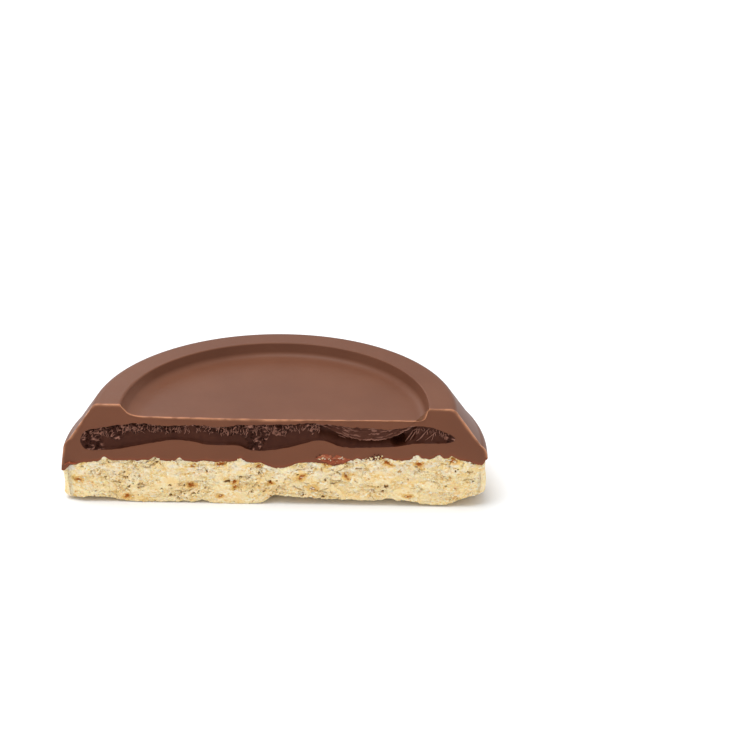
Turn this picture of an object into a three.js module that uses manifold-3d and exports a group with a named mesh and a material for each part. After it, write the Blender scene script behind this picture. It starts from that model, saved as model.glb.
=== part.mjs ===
// Half of a round chocolate-topped biscuit with a dark caramel filling, cut straight through its middle.
// A crumbly biscuit base carries a moulded milk-chocolate cap, and the filling lies in a pocket in the cap.
// Units are millimetres. +X runs along the cut, +Y from the cut to the round back, and +Z is up.

import * as THREE from "three";
import { mergeVertices } from "three/addons/utils/BufferGeometryUtils.js";
import Module from "manifold-3d";

const wasm = await Module();
wasm.setup();

// ---- Driving dimensions ----

const CAP_RADIUS = 26; // the widest radius of the chocolate, so the whole biscuit was 52 mm across
const CAP_TOP = 13.3; // height of the raised rim over the table
const DISH_DEPTH = 1.65; // the dish inside the rim

// Corners of the cap's profile from its lap up to the dish, as [radius, height]
const LAP_EDGE = [CAP_RADIUS + 0.4, 3.2];
const WALL_MIDDLE = [CAP_RADIUS + 0.2, 5.2];
const WALL_TOP = [CAP_RADIUS - 0.05, 7.1];
const BEVEL_FOOT = [25.2, 8.45];
const BEVEL_TOP = [22.3, CAP_TOP - 0.55];
const RIM_OUTER = [21.5, CAP_TOP];
const RIM_INNER = [18.85, CAP_TOP];
const DISH_WALL_TOP = [18.75, CAP_TOP - 0.15];
const DISH_WALL_FOOT = [18.5, CAP_TOP - 0.95];
const DISH_CORNER = [18.38, CAP_TOP - DISH_DEPTH]; // the wall's foot would be here if it weren't rounded
const DISH_FLOOR = [17.2, CAP_TOP - DISH_DEPTH];
const DISH_MIDDLE = [0, CAP_TOP - DISH_DEPTH - 0.12];

const BASE_RADIUS = 25.95; // the biscuit under the cap
const BASE_SHIFT = -0.15; // the biscuit sits off centre, towards -X
const BASE_HEIGHT = 5.8; // table to the seam between biscuit and chocolate
const BASE_FOOT = 0.9; // rounding of the biscuit's bottom edge
const BASE_BROW = 1.4; // rounding of its upper edge, under the lap of the chocolate
const BASE_ROUGHNESS = 0.14; // unevenness of its round side
const SLOPE_FROM = 21.8; // the biscuit's top slopes down outside this radius ...
const SLOPE_TO = 24.8; // ... as far as this one
const SLOPE_DROP = 0.5; // fall of that slope ...
const SLOPE_UNEVEN = 0.1; // ... with more of it at +X and less at -X
const LAP_FROM = 25.3; // outside this radius the chocolate laps down over the biscuit's edge ...
const LAP_DROP = 0.15; // ... by this much ...
const LAP_UNEVEN = 0.85; // ... with more of it at -X, and an upturned edge at +X

const FILLING_RADIUS = 22.9;
const FILLING_SHIFT = -0.9; // the filling sits off centre, towards -X
const FILLING_TOP = 10.75; // away from the cut, as is the next
const FILLING_BOTTOM = 8.1;
const FILLING_THINS = 3.9; // width of the filling's round edge, where it thins out

const GAP = 0.12; // clearance between neighbouring pieces
const ARC_STEPS = 80; // facets round a full turn
const BEYOND = 2; // how far the trimming blocks reach past the biscuit
const SEAM_GRID = [116, 9]; // cells of the seam along the cut and from the cut to the back

// Lines across the cut face, as [x, height]: the seam without its crumbs, the underside of the biscuit,
// and the top and the bottom of the filling
const SEAM_LINE = [
  [-22, 5.5],
  [-18, 5.68],
  [-9, 5.72],
  [-5, 5.65],
  [4, 5.75],
  [9, 6.02],
  [15, 6.25],
  [20, 6.55],
  [23, 6.5],
];
const UNDERSIDE_LINE = [
  [-26, 0.5],
  [-23, 0.5],
  [-19, 0.3],
  [-16, 0.04],
  [-11, 0.18],
  [-6, 0],
  [-2.6, 0],
  [-1.3, 0.3],
  [-0.2, 0.95],
  [3, 1.02],
  [7, 0.82],
  [13, 0.76],
  [16.4, 0.78],
  [18, 0.4],
  [20.5, 0.3],
  [23, 0.95],
  [26, 1.8],
];
const ROOF_LINE = [
  [-23.8, 8.9],
  [-23.2, 9.5],
  [-22.3, 9.8],
  [-20.5, 10.22],
  [-19.6, 10.45],
  [-16.5, 10.68],
  [-13, 10.5],
  [-9.5, 10.65],
  [-7, 10.42],
  [-4, 10.65],
  [1, 10.88],
  [5.5, 11.08],
  [8, 10.75],
  [12, 10.5],
  [15, 10.55],
  [17.3, 11.02],
  [18.6, 10.86],
  [19.5, 10.66],
  [20.4, 10.33],
  [21.2, 9.95],
  [22.1, 9.5],
];
const FLOOR_LINE = [
  [-23.8, 7.6],
  [-23.4, 7.25],
  [-22.7, 7.03],
  [-22, 7],
  [-19.3, 7.2],
  [-16.5, 7.8],
  [-14, 8.3],
  [-12.3, 8.56],
  [-10, 8.35],
  [-8, 7.95],
  [-4.5, 7.93],
  [-3, 7.34],
  [-0.5, 7.36],
  [2, 7.85],
  [4.8, 8.68],
  [6.2, 8.7],
  [8.2, 7.95],
  [12, 7.93],
  [15, 8.12],
  [17, 8.52],
  [20.9, 8.65],
  [22.1, 8.95],
];

// Crumbs that stand up into the chocolate along the cut: [x, height, half width]
const CRUMBS = [
  [-21.0, 0.52, 0.5],
  [-14.75, 0.48, 0.45],
  [-11.7, 0.52, 0.42],
  [-4.25, 0.5, 0.5],
  [10.1, 0.4, 0.45],
  [13.6, 0.42, 0.8],
  [17.3, 0.58, 0.45],
  [20.0, 0.55, 0.5],
  [21.7, 0.42, 0.4],
];

// Pools where the chocolate sank into the biscuit along the cut: [x, depth, half width]
const POOLS = [
  [0.5, 0.78, 1.6],
  [7.3, 0.4, 1.2],
];

// ---- Repeatable noise ----

// A whole number from three grid indices and a seed, spread evenly over 0 to 1.
function hash(ix, iy, iz, seed) {
  let h = Math.imul(ix, 374761393) ^ Math.imul(iy, 668265263);
  h ^= Math.imul(iz, 1442695041) ^ Math.imul(seed, 974634777);
  h = Math.imul(h ^ (h >>> 13), 1274126177);
  h = Math.imul(h ^ (h >>> 15), 461845907);
  return ((h ^ (h >>> 16)) >>> 0) / 4294967295;
}

const smooth = (t) => t * t * (3 - 2 * t);
const mix = (a, b, t) => a + (b - a) * t;
const clamp01 = (t) => Math.min(1, Math.max(0, t));

// Value noise from -1 to 1: random values on a cubic lattice, blended smoothly between its corners.
function noise(x, y, z, seed) {
  const ix = Math.floor(x);
  const iy = Math.floor(y);
  const iz = Math.floor(z);
  const u = smooth(x - ix);
  const v = smooth(y - iy);
  const w = smooth(z - iz);
  const edge = (j, k) => mix(hash(ix, iy + j, iz + k, seed), hash(ix + 1, iy + j, iz + k, seed), u);
  return 2 * mix(mix(edge(0, 0), edge(1, 0), v), mix(edge(0, 1), edge(1, 1), v), w) - 1;
}

// A bell of height 1 at 0, down to 0.37 at a distance of one width.
const bell = (distance, width) => Math.exp(-((distance / width) ** 2));

// Height at x of a smooth curve through points [x, height]. Its slope at a point is the slope between the
// neighbours of that point, and it stays level outside the ends.
function curve(points, x) {
  const last = points.length - 1;
  if (x <= points[0][0]) return points[0][1];
  if (x >= points[last][0]) return points[last][1];
  const i = points.findIndex(([place]) => place > x) - 1;
  const slope = (k) => {
    const [x0, z0] = points[Math.max(0, k - 1)];
    const [x1, z1] = points[Math.min(last, k + 1)];
    return (z1 - z0) / (x1 - x0);
  };
  const [x0, z0] = points[i];
  const [x1, z1] = points[i + 1];
  const step = x1 - x0;
  const t = (x - x0) / step;
  const turn = slope(i) * (1 - t) - slope(i + 1) * t - ((z1 - z0) / step) * (1 - 2 * t);
  return mix(z0, z1, t) + step * t * (1 - t) * turn;
}

// ---- Surfaces of the food, as height or depth over a plane ----

// The seam between biscuit and chocolate: nearly level, with crumbs and pools at the cut. It slopes
// down near the round edge, and outside the biscuit it is the lower edge of the chocolate's lap.
function seam(x, y) {
  let z = mix(BASE_HEIGHT, curve(SEAM_LINE, x), bell(y, 12));
  z += 0.07 * noise(x / 2.6, y / 2.6, 0, 11) + 0.07 * noise(x / 0.9, y / 0.9, 0, 12);
  for (const [cx, height, width] of CRUMBS) z += height * bell(Math.hypot(x - cx, 0.7 * y), width);
  for (const [cx, depth, width] of POOLS) z -= depth * bell(Math.hypot(x - cx, 0.5 * y), width);
  const r = Math.hypot(x, y);
  const side = x / Math.max(r, 1);
  z -= (SLOPE_DROP + SLOPE_UNEVEN * side) * clamp01((r - SLOPE_FROM) / (SLOPE_TO - SLOPE_FROM)) ** 1.3;
  const lap = LAP_DROP - LAP_UNEVEN * side + 0.3 * noise(x / 5, y / 5, 0, 13);
  return z - lap * smooth(clamp01((r - LAP_FROM) / (CAP_RADIUS - LAP_FROM)));
}

// The biscuit's underside: flat where it lies on the table, with shallow pits and its own line at the cut.
function underside(x, y) {
  const pits = 0.5 * Math.max(0, noise(x / 2.3, y / 2.3, 0, 21) - 0.35);
  return Math.max(0, curve(UNDERSIDE_LINE, x) * bell(y, 5) + pits - 0.04);
}

// The broken crumb of the cut, as depth behind the cut plane.
function crumbFace(x, z) {
  const flakes = 0.22 * noise(x / 1.7, 0, z / 0.9, 31) + 0.16 * noise(x / 0.8, 0, z / 0.5, 32);
  const holes = 1.1 * Math.max(0, noise(x / 1.05, 0, z / 0.8, 33) - 0.5);
  return 0.1 + flakes + holes;
}

// The torn, sticky upper part of the filling and the smooth part under it, as depth behind the cut plane.
function fillingFace(x, z) {
  const torn = clamp01((z - 9.0) / 0.7);
  const rough = 0.22 * noise(x / 1.1, 0, z / 0.8, 41) + 0.15 * noise(x / 0.6, 0, z / 0.5, 42);
  const hollow = 0.55 * bell(x - 12, 4.2) * (1 - clamp01((z - 8.8) / 0.6));
  const notch = 0.8 * bell(x - 15.2, 1.2) * bell(z - 8.9, 0.8);
  return 0.28 + torn * rough + hollow + notch + 0.08 * noise(x / 3, 0, z / 2, 43);
}

// Top of the filling, which thins out at its round edge.
function fillingRoof(x, y) {
  const r = Math.hypot(x - FILLING_SHIFT, y);
  const edge = clamp01((r - FILLING_RADIUS) / FILLING_THINS + 1);
  const level = mix(FILLING_TOP, curve(ROOF_LINE, x), bell(y, 6));
  return level - edge ** 2 * (1 - bell(y, 3)) + 0.06 * noise(x / 1.9, y / 1.9, 0, 51);
}

// Bottom of the filling, which sags in rounded lobes.
function fillingFloor(x, y) {
  const level = mix(FILLING_BOTTOM, curve(FLOOR_LINE, x), bell(y, 9));
  return level + 0.25 * noise(x / 4.5, y / 4.5, 0, 52) * (1 - bell(y, 4));
}

// ---- Geometry to solid and back ----

// A manifold solid from a closed three.js geometry.
function solidOf(geometry) {
  const bare = new THREE.BufferGeometry();
  bare.setAttribute("position", geometry.getAttribute("position"));
  bare.setIndex(geometry.index);
  const merged = mergeVertices(bare, 1e-4);
  const vertProperties = new Float32Array(merged.getAttribute("position").array);
  const triVerts = new Uint32Array(merged.index.array);
  return new wasm.Manifold(new wasm.Mesh({ numProp: 3, vertProperties, triVerts }));
}

// A three.js geometry from a manifold solid.
function geometryOf(solid) {
  const mesh = solid.getMesh();
  const geometry = new THREE.BufferGeometry();
  geometry.setAttribute("position", new THREE.BufferAttribute(new Float32Array(mesh.vertProperties), 3));
  geometry.setIndex(new THREE.BufferAttribute(new Uint32Array(mesh.triVerts), 1));
  geometry.computeVertexNormals();
  return geometry;
}

// Moves every vertex of a geometry by a function of its place.
function reshape(geometry, move) {
  const position = geometry.getAttribute("position");
  const point = new THREE.Vector3();
  for (let i = 0; i < position.count; i += 1) {
    point.fromBufferAttribute(position, i);
    move(point);
    position.setXYZ(i, point.x, point.y, point.z);
  }
  return geometry;
}

// A body of revolution about Z. The profile is [radius, height] points from the axis at the bottom,
// round the outside, to the axis at the top.
function turned(profile) {
  const points = profile.map(([r, z]) => new THREE.Vector2(r, z));
  return new THREE.LatheGeometry(points, ARC_STEPS).rotateX(Math.PI / 2);
}

// Points on a quarter-like arc from one profile point to another, bulging by the given share of its length.
function arc([r0, z0], [r1, z1], bulge, steps) {
  const points = [];
  for (let i = 0; i <= steps; i += 1) {
    const t = i / steps;
    const out = 4 * bulge * t * (1 - t);
    points.push([mix(r0, r1, t) + out * (z1 - z0), mix(z0, z1, t) - out * (r1 - r0)]);
  }
  return points;
}

// Points on a curve that leaves the first profile point towards a corner and arrives at the last from it.
function bend([r0, z0], [rc, zc], [r1, z1], steps) {
  const points = [];
  for (let i = 0; i <= steps; i += 1) {
    const t = i / steps;
    points.push([mix(mix(r0, rc, t), mix(rc, r1, t), t), mix(mix(z0, zc, t), mix(zc, z1, t), t)]);
  }
  return points;
}

// A block over the half biscuit between a level far plane and a relief height(x, y). It trims what it
// covers. Its rows fan out with the round edge and lie closer together at the cut and at the back.
function levelBlock(height, farHeight, columns, rows) {
  const reach = CAP_RADIUS + BEYOND;
  const box = new THREE.BoxGeometry(1, 1, 1, columns, rows, 1);
  const above = farHeight > height(0, 0);
  return reshape(box, (p) => {
    const onRelief = above ? p.z < 0 : p.z > 0;
    const row = Math.round((p.y + 0.5) * rows);
    p.x = 2 * reach * p.x;
    const chord = reach * Math.sqrt(1 - ((0.95 * p.x) / reach) ** 2);
    p.y = row === 0 ? -BEYOND : (chord * (1 - Math.cos((Math.PI * (row - 1)) / (rows - 1)))) / 2;
    p.z = onRelief ? height(p.x, p.y) : farHeight;
  });
}

// A block in front of the cut, whose back face is the relief depth(x, z).
function frontBlock(depth, lowest, highest, columns, rows) {
  const reach = CAP_RADIUS + BEYOND;
  const box = new THREE.BoxGeometry(1, 1, 1, columns, 1, rows);
  return reshape(box, (p) => {
    p.x = 2 * reach * p.x;
    p.z = mix(lowest, highest, p.z + 0.5);
    p.y = p.y > 0 ? depth(p.x, p.z) : -reach - BEYOND;
  });
}

// ---- The pieces ----

// The half-round biscuit: a disc with rounded edges, trimmed to its seam, its underside and its cut.
function makeBase() {
  const foot = arc([BASE_RADIUS - BASE_FOOT, 0], [BASE_RADIUS, BASE_FOOT], 0.2, 3);
  const browTop = [BASE_RADIUS - BASE_BROW, BASE_HEIGHT];
  const brow = arc([BASE_RADIUS, BASE_HEIGHT - 1.3 * BASE_BROW], browTop, 0.15, 4);
  const wall = [1.9, 2.9].map((z) => [BASE_RADIUS, z]);
  const disc = turned([
    [0, -0.5],
    [BASE_RADIUS - BASE_FOOT, -0.5],
    ...foot,
    ...wall,
    ...brow,
    [BASE_RADIUS - BASE_BROW, BASE_HEIGHT + 1.5],
    [0, BASE_HEIGHT + 1.5],
  ]);
  reshape(disc, (p) => {
    const r = Math.hypot(p.x, p.y);
    if (r < BASE_RADIUS - BASE_FOOT / 2) return;
    const scale = 1 + (BASE_ROUGHNESS * noise(p.x / 1.6, p.y / 1.6, p.z / 1.2, 61)) / r;
    p.set(p.x * scale, p.y * scale, p.z);
  }).translate(BASE_SHIFT, 0, 0);
  return solidOf(disc)
    .intersect(solidOf(levelBlock((x, y) => seam(x, y) - GAP / 2, -2, ...SEAM_GRID)))
    .subtract(solidOf(levelBlock(underside, -2, 36, 10)))
    .subtract(solidOf(frontBlock(crumbFace, -1, 7.6, 100, 13)));
}

// The full body of the cap: wall, bevel, rim and dish.
function capBody() {
  const shoulder = arc(WALL_TOP, BEVEL_FOOT, 0.12, 3);
  const rimOut = arc(BEVEL_TOP, RIM_OUTER, 0.16, 3);
  const rimIn = arc(RIM_INNER, DISH_WALL_TOP, 0.14, 2);
  const fillet = bend(DISH_WALL_FOOT, DISH_CORNER, DISH_FLOOR, 5);
  const bottom = [0, LAP_EDGE[1]];
  const wall = [bottom, LAP_EDGE, WALL_MIDDLE, ...shoulder];
  return turned([...wall, ...rimOut, ...rimIn, ...fillet, DISH_MIDDLE]);
}

// The filling, or the pocket that it lies in when grown by the clearance.
function fillingBody(grow) {
  const radius = FILLING_RADIUS + grow;
  const side = arc([radius - 0.9, FILLING_BOTTOM - 1.3], [radius - 0.9, FILLING_TOP], 0.16, 5);
  const foot = [radius - 1.3, FILLING_BOTTOM - 3];
  const disc = turned([[0, FILLING_BOTTOM - 3], foot, ...side, [0, FILLING_TOP + 1]]);
  disc.translate(FILLING_SHIFT, 0, 0);
  return solidOf(disc)
    .subtract(solidOf(levelBlock((x, y) => fillingRoof(x, y) + grow, FILLING_TOP + 4, 40, 6)))
    .subtract(solidOf(levelBlock((x, y) => fillingFloor(x, y) - grow, FILLING_BOTTOM - 6, 48, 7)));
}

// The chocolate cap, open at the cut where the filling shows.
function makeCap() {
  return solidOf(capBody())
    .subtract(solidOf(levelBlock((x, y) => seam(x, y) + GAP / 2, 0, ...SEAM_GRID)))
    .subtract(solidOf(frontBlock(() => 0, -1, CAP_TOP + 2, 1, 1)))
    .subtract(fillingBody(GAP));
}

// The filling, with its own torn cut.
function makeFilling() {
  return fillingBody(0).subtract(solidOf(frontBlock(fillingFace, 5, 13, 64, 12)));
}

// ---- The biscuit ----

function piece(name, solid, color, roughness) {
  const material = new THREE.MeshStandardMaterial({ color, roughness, metalness: 0 });
  const mesh = new THREE.Mesh(geometryOf(solid), material);
  mesh.name = name;
  return mesh;
}

const biscuit = new THREE.Group();
biscuit.name = "half_filled_biscuit";
biscuit.add(
  piece("biscuit_base", makeBase(), "#e4c897", 0.9),
  piece("chocolate_cap", makeCap(), "#754c3d", 0.4),
  piece("caramel_filling", makeFilling(), "#47261d", 0.45),
);

// The origin is the middle of the bottom of the biscuit's box.
const box = new THREE.Box3().setFromObject(biscuit);
const middle = box.getCenter(new THREE.Vector3());
biscuit.position.set(-middle.x, -middle.y, -box.min.z);

export default biscuit;
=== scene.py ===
# %% [markdown]
# # Half of a filled biscuit, cut straight through
#
# This scene dresses one half of a round biscuit that was cut through its middle: a pale, crumbly base, a
# moulded milk chocolate cap with a raised rim, and a dark caramel filling that shows at the cut. The solids
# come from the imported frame. Each is replaced by a finer surface of the same form, worked out with numpy, and
# each surface gets a material made of nodes.

import math

import bmesh
import bpy
import numpy as np
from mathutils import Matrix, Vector


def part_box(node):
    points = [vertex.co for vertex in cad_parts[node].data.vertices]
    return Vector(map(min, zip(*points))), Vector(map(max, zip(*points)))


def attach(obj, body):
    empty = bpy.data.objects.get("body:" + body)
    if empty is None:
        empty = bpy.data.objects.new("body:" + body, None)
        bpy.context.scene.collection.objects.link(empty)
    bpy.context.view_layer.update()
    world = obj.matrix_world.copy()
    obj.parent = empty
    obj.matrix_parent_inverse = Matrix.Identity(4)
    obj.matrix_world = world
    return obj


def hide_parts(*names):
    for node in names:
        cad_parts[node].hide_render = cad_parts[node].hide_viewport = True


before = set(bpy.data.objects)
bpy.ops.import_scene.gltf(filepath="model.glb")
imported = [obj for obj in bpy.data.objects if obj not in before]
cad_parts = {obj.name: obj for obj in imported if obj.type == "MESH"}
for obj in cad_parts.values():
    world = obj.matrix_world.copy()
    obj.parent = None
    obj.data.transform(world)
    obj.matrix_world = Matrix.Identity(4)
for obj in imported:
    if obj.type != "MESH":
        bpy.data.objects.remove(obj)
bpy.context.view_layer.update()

# %% [markdown]
# ## The frame of the cut
#
# It is easiest to think of a cut biscuit in millimetres, from the middle of the whole biscuit: x runs along
# the cut, y goes back from the cut, and z is the height over the table. One function at the end of the work
# moves such points to where the solids are, in metres. The chocolate's cut face is the lowest y of its solid.

# %% Millimetres in the frame of the cut, and back to the solids
MM = 0.001
CUT_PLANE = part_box("chocolate_cap")[0].y / MM  # y of the chocolate's cut face in the part's frame
AXIS_X = 0.147  # x of the middle of the whole biscuit in the part's frame


def to_frame(points):
    """Points in the frame of the cut, in millimetres, become points of the part, in metres."""
    return (np.asarray(points, float) + (AXIS_X, CUT_PLANE, 0.0)) * MM


print("the cut lies at y =", round(CUT_PLANE, 3), "mm")

# %% [markdown]
# ## Repeatable randomness
#
# Dough and torn caramel are uneven, yet a scene has to come out the same on every run. Value noise does both:
# every corner of a lattice gets a fixed random number from its whole-number place, and the space between is
# blended smoothly. It is the same noise that shaped the solids, so the fine surfaces follow their bumps.


# %% Value noise
PLACE_FACTORS = (374761393, 668265263, 1442695041, 974634777)  # large odd numbers for x, y, z and the seed
MIX_STEPS = ((13, 1274126177), (15, 461845907))  # (bits to shift, large odd number)
LARGEST = 2.0**32 - 1
SEED_STEP = 17  # between the layers of rough noise
FAR = 9.0  # in cells, further than any point of the neighbouring cells


def lattice(ix, iy, iz, seed):
    """A number from 0 to 1 for each lattice corner: the place is multiplied by large odd numbers and mixed."""
    with np.errstate(over="ignore"):
        h = np.uint32(0)
        for number, factor in zip((ix, iy, iz, seed), PLACE_FACTORS):
            h = h ^ np.asarray(number, np.int64).astype(np.uint32) * np.uint32(factor)
        for shift, factor in MIX_STEPS:
            h = (h ^ (h >> np.uint32(shift))) * np.uint32(factor)
    return (h ^ (h >> np.uint32(16))) / LARGEST


def smooth(t):
    """A ramp from 0 to 1 that starts and ends level: 3 t squared minus 2 t cubed, with t held to 0 to 1."""
    t = np.clip(t, 0.0, 1.0)
    return t * t * (3 - 2 * t)


def mix(a, b, t):
    """The point a share t of the way from a to b."""
    return a + (b - a) * t


def bell(distance, width):
    """A bell of height 1 at distance 0: e to the minus square of distance over width."""
    return np.exp(-((distance / width) ** 2))


def noise(x, y, z, seed):
    """Value noise from -1 to 1: the eight corners round a point, blended along x, then y, then z."""
    x, y, z = np.broadcast_arrays(*(np.asarray(c, float) for c in (x, y, z)))
    ix, iy, iz = (np.floor(c).astype(np.int64) for c in (x, y, z))
    u, v, w = smooth(x - ix), smooth(y - iy), smooth(z - iz)

    def edge(j, k):
        return mix(lattice(ix, iy + j, iz + k, seed), lattice(ix + 1, iy + j, iz + k, seed), u)

    return 2 * mix(mix(edge(0, 0), edge(1, 0), v), mix(edge(0, 1), edge(1, 1), v), w) - 1


def rough(x, y, z, seed, octaves=4, gain=0.55):
    """Several layers of noise, each half as large and a share `gain` as strong as the last, summed."""
    total = 0.0
    for k in range(octaves):
        total = total + gain**k * noise(x * 2**k, y * 2**k, z * 2**k, seed + SEED_STEP * k)
    return total


def on_cut(x, z, wide, high, seed):
    """Value noise on the cut face. Its patches are about `wide` millimetres long and `high` high."""
    return noise(x / wide, 0, z / high, seed)


def neighbours(x, z, cell, long, seed):
    """Each cell of a lattice on the cut has a random place. For the nine cells round every point, this gives
    the distance to that place, in cells, and two more random numbers of the cell."""
    u, v = x / (cell * long), z / cell
    iu, iv = np.floor(u), np.floor(v)
    for du in (-1, 0, 1):
        for dv in (-1, 0, 1):
            at = [lattice(iu + du, iv + dv, k, seed) for k in range(4)]
            yield np.hypot(u - iu - du - at[0], v - iv - dv - at[1]), at[2], at[3]


def dots(x, z, cell, seed, share, small, large, long):
    """Scattered round marks, 1 in the middle of a mark and 0 outside. A cell has a random radius, `small` to
    `large` cells. It holds a mark where its random number is under `share`. Marks are `long` times as wide
    as they are high."""
    best = 0.0
    for away, size, chance in neighbours(x, z, cell, long, seed):
        best = np.maximum(best, (chance < share) * (1 - smooth(away / mix(small, large, size))))
    return best


def plates(x, z, cell, seed, long):
    """A plane split into the regions round scattered points: (a random number of the region, how far its
    border is). The border is where the nearest and the second nearest point are equally far, so that
    distance is the difference of the two, in cells."""
    near, second, number = FAR, FAR, 0.0
    for away, drawn, _ in neighbours(x, z, cell, long, seed):
        second = np.where(away < near, near, np.minimum(second, away))
        number = np.where(away < near, drawn, number)
        near = np.minimum(near, away)
    return number, second - near


print("noise at one point:", round(float(noise(1.3, 2.7, 0.2, 5)), 4))

# %% [markdown]
# ## Sizes of the biscuit
#
# A moulded biscuit is made from a few sizes: how wide and high the mould is, where its rim runs, how thick
# the baked base is, and where the filling was laid. They are the driving sizes here, in millimetres. What the
# dough and the filling did by themselves is given by four lines across the cut, each a few places and heights.

# %% Driving sizes, in millimetres
CAP_RADIUS = 26.0
CAP_TOP = 13.3
DISH_DEPTH = 1.65

WALL_LOW = (CAP_RADIUS + 0.4, 3.2)
WALL_MIDDLE = (CAP_RADIUS + 0.2, 5.2)
WALL_TOP = (CAP_RADIUS - 0.05, 7.1)
BEVEL_FOOT = (25.2, 8.45)
BEVEL_TOP = (22.3, CAP_TOP - 0.55)
RIM_OUTER = (21.5, CAP_TOP)
RIM_INNER = (18.85, CAP_TOP)
DISH_WALL_TOP = (18.75, CAP_TOP - 0.15)
DISH_WALL_FOOT = (18.5, CAP_TOP - 0.95)
DISH_CORNER = (18.38, CAP_TOP - DISH_DEPTH)
DISH_FLOOR = (17.2, CAP_TOP - DISH_DEPTH)
DISH_MIDDLE = (0.0, CAP_TOP - DISH_DEPTH - 0.12)

BASE_RADIUS = 25.95
BASE_SHIFT = -0.15  # x of its middle
BASE_HEIGHT = 5.8
BASE_FOOT = 0.5  # rounding of its lower edge
BASE_BROW = 0.5  # rounding of its upper edge
SLOPE_FROM, SLOPE_TO = 21.8, 24.8  # the seam slopes down between these radii
SLOPE_DROP, SLOPE_UNEVEN = 0.5, 0.1  # all round, and how much more at +X
LAP_FROM = 25.3  # outside this radius the chocolate laps over the base
LAP_DROP, LAP_UNEVEN = 0.15, 0.85

FILLING_RADIUS = 22.9
FILLING_SHIFT = -0.9  # x of its middle
FILLING_TOP = 10.75
FILLING_BOTTOM = 8.1
FILLING_THINS = 3.9  # it thins over this width at its round edge

# How far behind the cut each line has faded out
SEAM_FADE, UNDERSIDE_FADE, ROOF_FADE, FLOOR_FADE = 12, 5, 6, 9
# Lines across the cut face, as (x, height)
SEAM_LINE = [(-22, 5.5), (-18, 5.68), (-9, 5.72), (-5, 5.65), (4, 5.75), (9, 6.02), (15, 6.25), (20, 6.55),
             (23, 6.5)]
UNDERSIDE_LINE = [
    (-26, 0.5), (-23, 0.5), (-19, 0.3), (-16, 0.04), (-11, 0.18), (-6, 0), (-2.6, 0), (-1.3, 0.3), (-0.2, 0.95),
    (3, 1.02), (7, 0.82), (13, 0.76), (16.4, 0.78), (18, 0.4), (20.5, 0.3), (23, 0.95), (26, 1.8),
]
ROOF_LINE = [
    (-23.8, 8.9), (-23.2, 9.5), (-22.3, 9.8), (-20.5, 10.22), (-19.6, 10.45), (-16.5, 10.68), (-13, 10.5),
    (-9.5, 10.65), (-7, 10.42), (-4, 10.65), (1, 10.88), (5.5, 11.08), (8, 10.75), (12, 10.5), (15, 10.55),
    (17.3, 11.02), (18.6, 10.86), (19.5, 10.66), (20.4, 10.33), (21.2, 9.95), (22.1, 9.5),
]
FLOOR_LINE = [
    (-23.8, 7.6), (-23.4, 7.25), (-22.7, 7.03), (-22, 7.0), (-19.3, 7.2), (-16.5, 7.8), (-14, 8.3), (-12.3, 8.56),
    (-10, 8.35), (-8, 7.95), (-4.5, 7.93), (-3, 7.34), (-0.5, 7.36), (2, 7.85), (4.8, 8.68), (6.2, 8.7),
    (8.2, 7.95), (12, 7.93), (15, 8.12), (17, 8.52), (20.9, 8.65), (22.1, 8.95),
]
# Crumbs that stand up into the chocolate along the cut: (x, height, half width)
CRUMBS = [
    (-21.0, 0.52, 0.5), (-14.75, 0.48, 0.45), (-11.7, 0.52, 0.42), (-4.25, 0.5, 0.5), (10.1, 0.4, 0.45),
    (13.6, 0.42, 0.8), (17.3, 0.58, 0.45), (20.0, 0.55, 0.5), (21.7, 0.42, 0.4),
]
# Pools where the chocolate sank into the biscuit: (x, depth, half width)
POOLS = [(0.5, 0.78, 1.6), (7.3, 0.4, 1.2)]
print("whole biscuit:", 2 * CAP_RADIUS, "mm across and", CAP_TOP, "mm to the rim")

# %% [markdown]
# ## The surfaces inside the biscuit
#
# Three surfaces run through the food: the seam between biscuit and chocolate, and the roof and the floor of
# the filling. Each is a height over the table as a function of x and y, so the piece above it and the piece
# below it can both be built from the same function, and no gap or crossing can arise between them. At the cut
# each follows its line, and behind the cut it fades to a level one.


# %% Seam, underside, roof and floor as heights
def curve(points, x):
    """Height at x of a smooth curve through points. Its slope at a point is the slope between the
    neighbours of that point, and it stays level outside the ends."""
    at, height = np.array(points, float).T
    before, after = np.r_[0, : len(at) - 1], np.r_[1 : len(at), len(at) - 1]
    slope = (height[after] - height[before]) / (at[after] - at[before])
    x = np.clip(x, at[0], at[-1])
    i = np.clip(np.searchsorted(at, x, side="right") - 1, 0, len(at) - 2)
    step = at[i + 1] - at[i]
    t = (x - at[i]) / step
    turn = slope[i] * (1 - t) - slope[i + 1] * t - (height[i + 1] - height[i]) / step * (1 - 2 * t)
    return mix(height[i], height[i + 1], t) + step * t * (1 - t) * turn


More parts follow.
